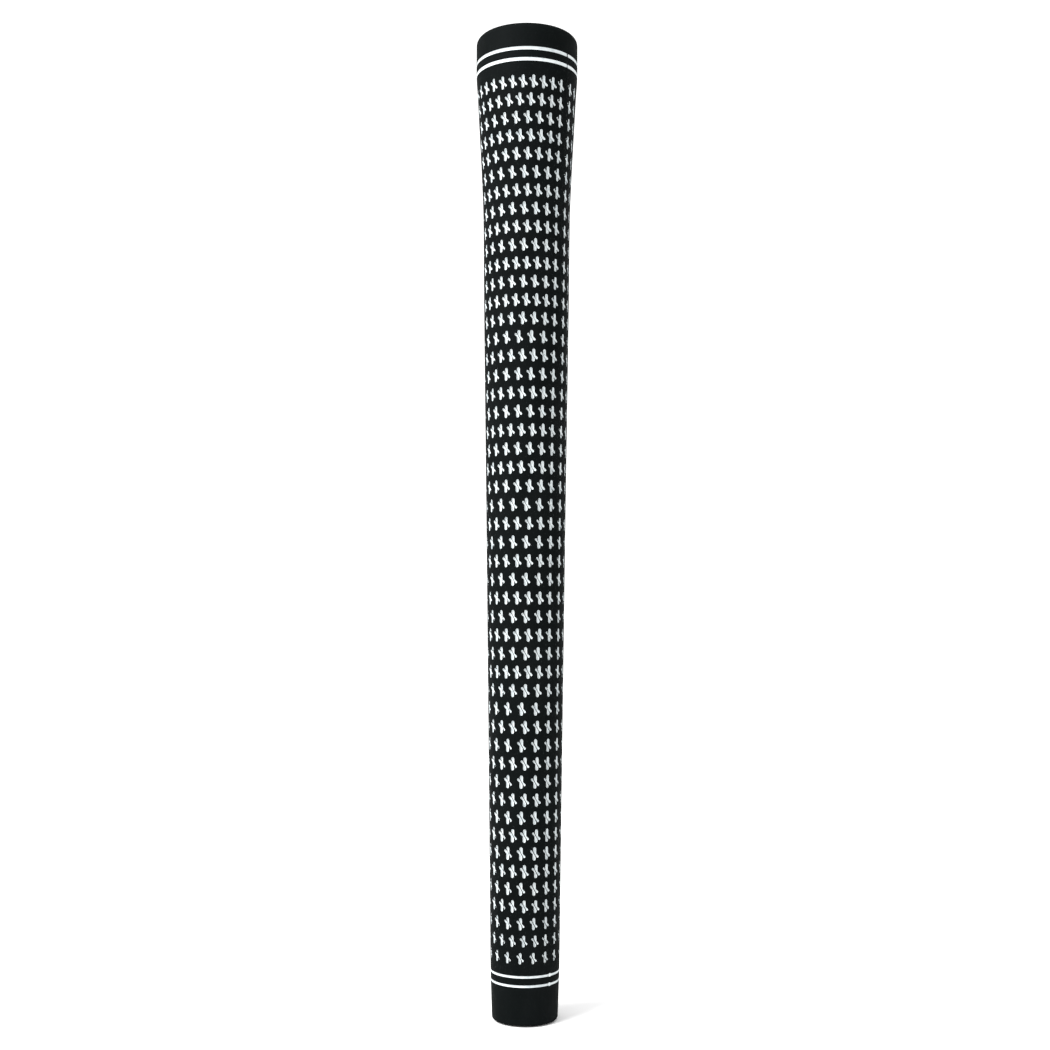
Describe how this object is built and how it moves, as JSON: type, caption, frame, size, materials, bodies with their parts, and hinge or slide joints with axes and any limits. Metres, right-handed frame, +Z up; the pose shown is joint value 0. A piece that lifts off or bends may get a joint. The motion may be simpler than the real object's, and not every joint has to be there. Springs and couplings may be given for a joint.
{
  "type": "golf grip",
  "caption": "Tapered rubber slip-on grip for a golf club, flared at a capped butt, with a round shaft bore open at the narrow mouth and white painted rings at both ends.",
  "frame": {"origin": "centre of the mouth, the open narrow end where the shaft enters, on the axis of the bore and the bottom of the standing grip", "axes": "+Z up the bore axis from the mouth to the butt cap; -Y is the side facing the viewer; the parting plane of the two halves is turned 41.5 degrees clockwise from +X, seen from above"},
  "size_m": [0.0282, 0.0282, 0.268],
  "materials": {
    "black_rubber": "satin moulded rubber with a fine grain",
    "cap_rubber": "harder, slightly smoother moulded rubber",
    "white_paint": "flat white infill paint in moulded recesses"
  },
  "bodies": {
    "root": {"front_sleeve_half": "black_rubber", "rear_sleeve_half": "black_rubber", "butt_cap": "cap_rubber", "butt_ring_upper": "white_paint", "butt_ring_lower": "white_paint", "mouth_ring_upper": "white_paint", "mouth_ring_lower": "white_paint"}
  },
  "joints": []
}
